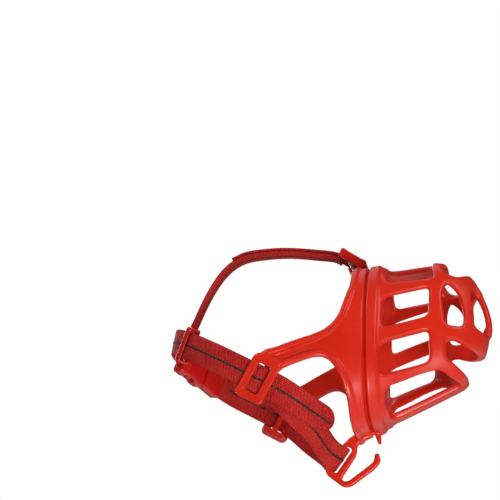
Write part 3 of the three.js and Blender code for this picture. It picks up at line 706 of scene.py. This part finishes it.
def tape(line, offset, round_tip):
    """Vertices, faces and UVs in millimetres of the bare tape."""
    s = np.linspace(0, line.length, max(int(line.length / ROW_PITCH), 2) + 1)
    if round_tip:
        tip = line.length - (WEB_W / 2) * (1 - np.sin(np.linspace(0, math.pi / 2, 14)))
        s = np.unique(np.concatenate([s[s < line.length - WEB_W / 2], tip]))
    point, width, normal = line.frame(s)
    half = np.full(len(s), WEB_W / 2)
    if round_tip:
        left = line.length - s
        arc = np.sqrt(np.maximum((WEB_W / 2) ** 2 - (WEB_W / 2 - left) ** 2, 0))
        half = np.where(left < WEB_W / 2, np.maximum(arc, 1.2), half)
    up = (1 - np.abs(ACROSS) ** 26) ** 0.5
    up[[0, -1]] = 0.25
    top = np.stack([ACROSS, up], 1)
    ring = np.concatenate([top, top[::-1] * [1, -1]])
    vertices = (
        point[:, None] + width[:, None] * (ring[:, 0] * half[:, None])[..., None]
        + normal[:, None] * (offset + ring[:, 1] * WEB_T / 2)[None, :, None]
    ).reshape(-1, 3)
    girth = np.concatenate([[0], np.cumsum(np.linalg.norm(
        np.diff(np.vstack([ring, ring[:1]]) * [WEB_W / 2, WEB_T / 2], axis=0), axis=1))])
    uvs = []
    for i in range(len(s) - 1):
        for j in range(len(ring)):
            uvs += [(girth[j], s[i]), (girth[j + 1], s[i]), (girth[j + 1], s[i + 1]),
                    (girth[j], s[i + 1])]
    for at, way in ((s[0], -1), (s[-1], 1)):
        uvs += [(x * WEB_W / 2, at + h * WEB_T / 2) for x, h in ring][::way]
    return vertices, tube(len(s), len(ring)), uvs


def stitch(line, start, face, offset, rng):
    """Vertices and faces of one stitch, a short thread lying on one face of the tape."""
    u = np.linspace(0, 1, STITCH_ROWS)
    p, w, n = line.frame(start + u * (STITCH - STITCH_GAP))
    slant = (u - 0.5) * rng.uniform(0.15, 0.5) + rng.uniform(-0.08, 0.08)
    rise = offset + face * (WEB_T / 2 + 0.16 * np.sin(u * math.pi) ** 0.5 - 0.04)
    thick = np.sin(np.clip(u, 0.06, 0.94) * math.pi) ** 0.35
    centre = p + w * slant[:, None] + n * rise[:, None]
    turn = np.linspace(0, 2 * math.pi, STITCH_SIDES, endpoint=False) * face
    vertices = (
        centre[:, None]
        + w[:, None] * (np.cos(turn) * THREAD_W / 2)[None, :, None] * thick[:, None, None]
        + n[:, None] * (np.sin(turn) * THREAD_T / 2)[None, :, None] * thick[:, None, None]
    ).reshape(-1, 3)
    return vertices, tube(STITCH_ROWS, STITCH_SIDES, face)


def strap_mesh(line, offset=0.0, round_tip=False, stitch_span=(3.0, 3.0)):
    """Vertices, faces, UVs and material numbers of a strap, stitched along both its faces."""
    body, faces, uvs = tape(line, offset, round_tip)
    vertices, looks, count = [body], [0] * len(faces), len(body)
    rng = np.random.default_rng(7)
    for face in (1, -1):
        start = stitch_span[0]
        while start + STITCH < line.length - stitch_span[1]:
            body, thread = stitch(line, start, face, offset, rng)
            vertices.append(body)
            faces += [[count + k for k in corners] for corners in thread]
            uvs += [(0, 0)] * sum(len(corners) for corners in thread)
            looks += [1] * len(thread)
            count += len(body)
            start += STITCH
    return np.concatenate(vertices), faces, uvs, looks


def strap(name, line, body, nodes, **form):
    """A strap that rides on a body, or on none if body is None."""
    vertices, faces, uvs, looks = strap_mesh(line, **form)
    mesh = bpy.data.meshes.new(name)
    mesh.from_pydata((tapered(vertices) * MM).tolist(), [], faces)
    mesh.materials.append(red_webbing)
    mesh.materials.append(black_thread)
    mesh.polygons.foreach_set("material_index", looks)
    mesh.polygons.foreach_set("use_smooth", np.ones(len(faces), bool))
    layer = mesh.uv_layers.new(name="UVMap")
    layer.data.foreach_set("uv", np.array(uvs, np.float32).ravel())
    mesh.update()
    piece = bpy.data.objects.new(name, mesh)
    bpy.context.scene.collection.objects.link(piece)
    if nodes:
        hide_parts(*nodes)
    if body:
        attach(piece, body)
    return piece


NAPE_P = 74.0  # from the loops back to the nape
STRAP_Y = 57.8  # half spread of the outer layer where it goes through the loops
NAPE_SLOT_DIR = unit([0.42, 0, 0.907])
CHIN_OUT = np.cross(Y, CHIN_DIR)


def neck_point(p, y, w=0.0):
    """A place p behind the loops, y to the left and w along the slots."""
    return np.array([LOOP[0], y, LOOP[2]]) - ALONG * p + SLOT_DIR * w


def neck_dir(p):
    """The webbing's width direction there, which turns upright towards the nape."""
    t = min(max(p / NAPE_P, 0), 1)
    return unit(SLOT_DIR * (1 - t) + NAPE_SLOT_DIR * t)


def neck_knots(line):
    return [(neck_point(p, y), neck_dir(p)) for p, y in line]


# Routes of the neck strap: p, y. DOUBLED is where it lies over the chin strap.
DOUBLED = [[0, -57.8], [12, -57.6], [26, -55.6], [40, -50], [53, -40.5]]
RIGHT = [[-11, -57.8], *DOUBLED, [64, -27], [71, -12.5], [74, 0], [73.4, 8], [70.8, 16.4]]
LEFT = [[43.4, 52], [36, 56.4], [27, 58], [20, 57.8], [11.6, 57.8], [9, 57.8]]
right_line = Line(neck_knots(RIGHT))
strap("neck_webbing_right", right_line, "basket", ["neck_strap_right", "neck_thread_right"],
      stitch_span=(1.0, 5.0))


def chin_middle(y, back):
    """A place on the chin strap near the hook's slot."""
    p = CHIN_SLOT + CHIN_OUT * LAYER - ALONG * back
    return np.array([p[0], y, p[2]])


def chin_side(side, y):
    """Knots of the chin strap between a loop and the hook."""
    return [
        (neck_point(-3, y * side), SLOT_DIR),
        (neck_point(-13, (y - 1) * side, -1.8), SLOT_DIR),
        (neck_point(-26, (y - 7.5) * side, -5.8), SLOT_DIR),
        (neck_point(-40, (y - 22) * side, -10.4), SLOT_DIR * 0.6 + CHIN_DIR * 0.4),
        (chin_middle(14 * side, 6.2), CHIN_DIR),
    ]


chin_knots = [
    *neck_knots([[56, -37.5], *DOUBLED[::-1]][:-1]),
    *chin_side(-1, STRAP_Y),
    (chin_middle(-3.5, 0.4), CHIN_DIR),
    (chin_middle(3.5, 0.4), CHIN_DIR),
    *chin_side(1, STRAP_Y + LAYER)[::-1],
    (neck_point(9.6, STRAP_Y + LAYER), SLOT_DIR),
]
strap("chin_webbing", Line(chin_knots, end=len(chin_knots) - 1.05), "basket",
      ["chin_strap", "chin_thread"], offset=-LAYER, stitch_span=(4.0, 1.0))

# The left neck webbing, as two pieces: a root at the loop, and a length out to the buckle.
left_root = strap("neck_webbing_left_root", Line(neck_knots(LEFT), 3.5, 5.0), None, [],
                  stitch_span=(0.2, 0.2))
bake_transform(left_root)
left_main = strap("neck_webbing_left", Line(neck_knots(LEFT), 0.0, 3.5), None,
                  ["neck_strap_left", "neck_thread_left"], stitch_span=(7.0, 0.2))
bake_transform(left_main)

tail_knots = [(neck_point(-q, y, w), SLOT_DIR) for q, y, w in
              [[11, -57.8, 0], [13, -57.7, 0], [24, -54.6, -0.6], [38, -52, -1.6],
               [50, -50.8, -2.4]]]
tail = strap("neck_webbing_tail", Line(tail_knots), None, ["neck_strap_tail", "tail_thread"],
             round_tip=True, stitch_span=(0.4, 2.0))
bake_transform(tail)

# Routes of the overhead strap and its front length, on the plane of symmetry: x, z.
OVERHEAD = [[7.6, 64.6], [4, 68], [-6, 72], [-21, 76.8], [-38, 80.3], [-50, 82], [-58, 80.9],
            [-67, 76.6], [-76.5, 68.6], [-85.6, 58.6], [-93, 49.4], [-99, 43.4], [-104.2, 40.4]]
FRONT = [[11.4, 57.4], [12.8, 53.4], [13.4, 48.4], [15.6, 43.8], [19.6, 43], [22.2, 46],
         [22.8, 50], [21.4, 53.8], [18.4, 57.3], [15.6, 60.6], [10.9, 65.9], [5.4, 70],
         [-4.6, 73.9], [-20.4, 78.7], [-37.7, 82.3], [-50, 84], [-59, 82.7]]
strap("overhead_webbing", Line([(np.array([x, 0.0, z]), Y) for x, z in OVERHEAD]), "basket",
      ["overhead_strap", "overhead_thread"], stitch_span=(2.0, 4.0))
strap("overhead_webbing_front", Line([(np.array([x, 0.0, z]), Y) for x, z in FRONT]), "basket",
      ["overhead_front"], stitch_span=(2.0, 2.0))


# ---------- plastic hardware ----------
class Block:
    """Distance fields on a small grid turned to the piece's own axes."""

    def __init__(self, origin, dirs, low, high):
        self.origin, self.dirs = np.asarray(origin, float), np.asarray(dirs, float)
        self.low = np.asarray(low, float) - 2 * FINE
        size = np.ceil((np.asarray(high) + 2 * FINE - self.low) / FINE).astype(int) + 1
        self.u, self.v, self.n = np.meshgrid(
            *[self.low[k] + FINE * np.arange(size[k]) for k in range(3)], indexing="ij")

    def box(self, centre, sizes, radius):
        """Field of a box with rounded edges."""
        q = [np.abs(g - c) - s / 2 + radius
             for g, c, s in zip((self.u, self.v, self.n), centre, sizes)]
        out = np.sqrt(sum(np.maximum(g, 0) ** 2 for g in q))
        return out + np.minimum(np.maximum(np.maximum(q[0], q[1]), q[2]), 0) - radius

    def piece(self, name, field):
        """The field's zero level as an object."""
        vertices, quads = surface_net(field, self.low, FINE)
        return new_object(name, tapered(self.origin + vertices @ self.dirs), quads)


# The overhead strap's slider: a frame of two cross bars and two side rails, and a sunk bar.
head_along = unit([0.66, 0, -0.75])
head = Block([14.9, 0, 61.5], [head_along, Y, np.cross(head_along, Y)],
             [-10, -12, -3.5], [10, 12, 4.5])
slider_field = head.box((-7.2, 0, 2.3), (3.6, 23, 2), 0.8)
for box in (((7.2, 0, 2.3), (3.6, 23, 2), 0.8), ((0, 9.9, 0.4), (18, 3.2, 5.8), 1.0),
            ((0, -9.9, 0.4), (18, 3.2, 5.8), 1.0)):
    slider_field = smin(slider_field, head.box(*box), 0.8)
slider_field = smin(slider_field, head.box((0, 0, -1.9), (3.4, 20, 1.2), 0.5), 0.5)
finished(head.piece("overhead_slider", slider_field), gloss_plastic, "hardware", "slider",
         "head_slider")

# The keeper, a ring round the doubled neck strap.
keeper_along = unit(neck_point(56, -37.6) - neck_point(50, -43))
keeper_width = neck_dir(53) - keeper_along * (keeper_along @ neck_dir(53))
keeper_width = unit(keeper_width)
ring = Block(neck_point(53, -40.5),
             [keeper_along, keeper_width, np.cross(keeper_along, keeper_width)],
             [-3, -12, -5], [3, 12, 7])
ring_field = smax(ring.box((0, 0, 0.95), (5, 22, 8.2), 1.6),
                  -ring.box((0, 0, 0.95), (12, 18.2, 5.3), 0.6), 0.9)
finished(ring.piece("strap_keeper", ring_field), gloss_plastic, "hardware", "keeper",
         "neck_keeper")

# The side-release buckle.
buckle_start, buckle_end = neck_point(70.4, 17.6), neck_point(43.2, 52.4)
buckle_along = unit(buckle_end - buckle_start)
buckle_width = neck_dir(57) - buckle_along * (buckle_along @ neck_dir(57))
buckle_width = unit(buckle_width)
buckle_dirs = [buckle_along, buckle_width, np.cross(buckle_along, buckle_width)]
SOCKET_L, PLUG_L, PRONG_L = 25.0, 17.5, 14.5

female = Block(buckle_start, buckle_dirs, [-1, -12, -5], [26, 12, 5])
socket = female.box((12.5, 0, 0), (25, 23, 8.4), 2.2)
socket = smax(socket, -female.box((17, 0, 0), (16.4, 18, 5), 0.8), 0.8)
socket = smax(socket, -female.box((12.6, 0, 0), (6.6, 30, 5), 1.4), 0.9)
socket = smax(socket, -female.box((0, 0, 0), (7, 17, 2.4), 0.5), 0.6)
for side in (-1, 1):
    socket = smax(socket, -female.box((12.6, side * 11.9, 0), (9, 3.0, 12), 1.4), 1.2)
    socket = smax(socket, -female.box((25.6, 0, side * 4.4), (4.6, 10, 3.0), 1.4), 1.0)
    socket = smax(socket, -female.box((6.2, 0, side * 4.6), (1.6, 15, 1.6), 0.7), 0.5)
finished(female.piece("buckle_female", socket), gloss_plastic, "hardware", "basket",
         "buckle_socket")

male = Block(buckle_start, buckle_dirs, [12, -11, -5], [44, 11, 5])
plug_mid = SOCKET_L + 0.5 + PLUG_L / 2
plug = male.box((plug_mid, 0, 0), (PLUG_L, 20, 7), 1.8)
plug = smin(plug, male.box((SOCKET_L - 4.4, 0, 0), (15, 5.2, 3.2), 1.2), 1.0)
plug = smax(plug, -male.box((plug_mid + PLUG_L / 2, 0, 0), (7, 17, 2.4), 0.5), 0.6)
for side in (-1, 1):
    for k in range(3):
        rib = male.box((plug_mid - 4 + 3 * k, 0, side * 3.8), (1.3, 13, 1.4), 0.6)
        plug = smax(plug, -rib, 0.5)
finished(male.piece("buckle_male", plug), gloss_plastic, "hardware", "plug", "buckle_plug")

for side, name, body, node in ((1, "prong_a", "upper_prong", "prong_upper"),
                               (-1, "prong_b", "lower_prong", "prong_lower")):
    arm = Block(buckle_start, buckle_dirs, [9, min(side * 4, side * 12), -3],
                [26.5, max(side * 4, side * 12), 3])
    shape = arm.box((SOCKET_L + 0.1 - PRONG_L / 2, side * 7, 0), (PRONG_L, 2.4, 3.8), 0.9)
    shape = smin(shape, arm.box((SOCKET_L - PRONG_L + 2.4, side * 8.9, 0), (4.2, 3.6, 3.8), 1.1),
                 1.0)
    finished(arm.piece(name, shape), gloss_plastic, "hardware", body, node)


# ---------- stage ----------
def area(name, place, aim, size, power):
    lamp = bpy.data.lights.new(name, "AREA")
    lamp.shape = "RECTANGLE"
    lamp.size, lamp.size_y = size
    lamp.energy = power
    holder = bpy.data.objects.new(name, lamp)
    holder.location = place
    holder.rotation_euler = (Vector(aim) - Vector(place)).to_track_quat("-Z", "Y").to_euler()
    holder.visible_camera = False
    bpy.context.scene.collection.objects.link(holder)


def white_surround():
    """A world that the camera sees as white, and that lights the object only softly."""
    world = bpy.data.worlds.new("white_surround")
    world.use_nodes = True
    tree = world.node_tree
    background = tree.nodes["Background"]
    background.inputs["Color"].default_value = (1, 1, 1, 1)
    seen = tree.nodes.new("ShaderNodeLightPath")
    level = tree.nodes.new("ShaderNodeMapRange")
    level.inputs["To Min"].default_value = SURROUND_LIGHT
    level.inputs["To Max"].default_value = 1.0
    tree.links.new(seen.outputs["Is Camera Ray"], level.inputs["Value"])
    tree.links.new(level.outputs["Result"], background.inputs["Strength"])
    return world


FLOOR_HALF, FLOOR_Z = 3000, -420
SURROUND_LIGHT = 0.13
floor = new_object("floor", [[x * FLOOR_HALF, y * FLOOR_HALF, FLOOR_Z]
                             for x, y in ((-1, -1), (1, -1), (1, 1), (-1, 1))],
                   [[0, 1, 2, 3]], smooth=False)
floor.data.materials.append(nodes_of("pale_floor", (0.8, 0.8, 0.8), 0.8)[0])

# Metres: place, aim, size; then watts.
area("key", (-0.25, -0.6, 0.75), (0, 0, 0), (0.22, 0.22), 2.9)
area("low_front", (0.12, -0.5, -0.34), (0, 0, -0.04), (0.2, 0.12), 2.1)
area("nose_side", (0.7, -0.4, 0.2), (0, 0, 0), (0.3, 0.3), 1.4)
area("back", (-0.3, 0.9, 0.5), (0, 0, 0), (0.8, 0.6), 8)
area("overhead", (0.1, 0.1, 1.5), (0, 0, 0), (1.6, 1.6), 9)
bpy.context.scene.world = white_surround()
bpy.context.scene.view_settings.view_transform = "Standard"

# A long lens, on the dog's right and a little below the muzzle, rolled to its tilt.
CAMERA_PLACE = (0.03394934, -1.4570042, -0.35494536)
right = Vector((0.95456526, 0.13180523, -0.26726867))
down = Vector((-0.29351979, 0.26088395, -0.91966608))
forward = Vector((-0.0514907, 0.95632993, 0.2877182))
camera = bpy.data.objects.new("camera", bpy.data.cameras.new("camera"))
camera.data.lens = 177.738
camera.data.clip_start = 0.02
turn = Matrix((right, -down, -forward)).transposed().to_4x4()
camera.matrix_world = Matrix.Translation(CAMERA_PLACE) @ turn
bpy.context.scene.collection.objects.link(camera)
bpy.context.scene.camera = camera
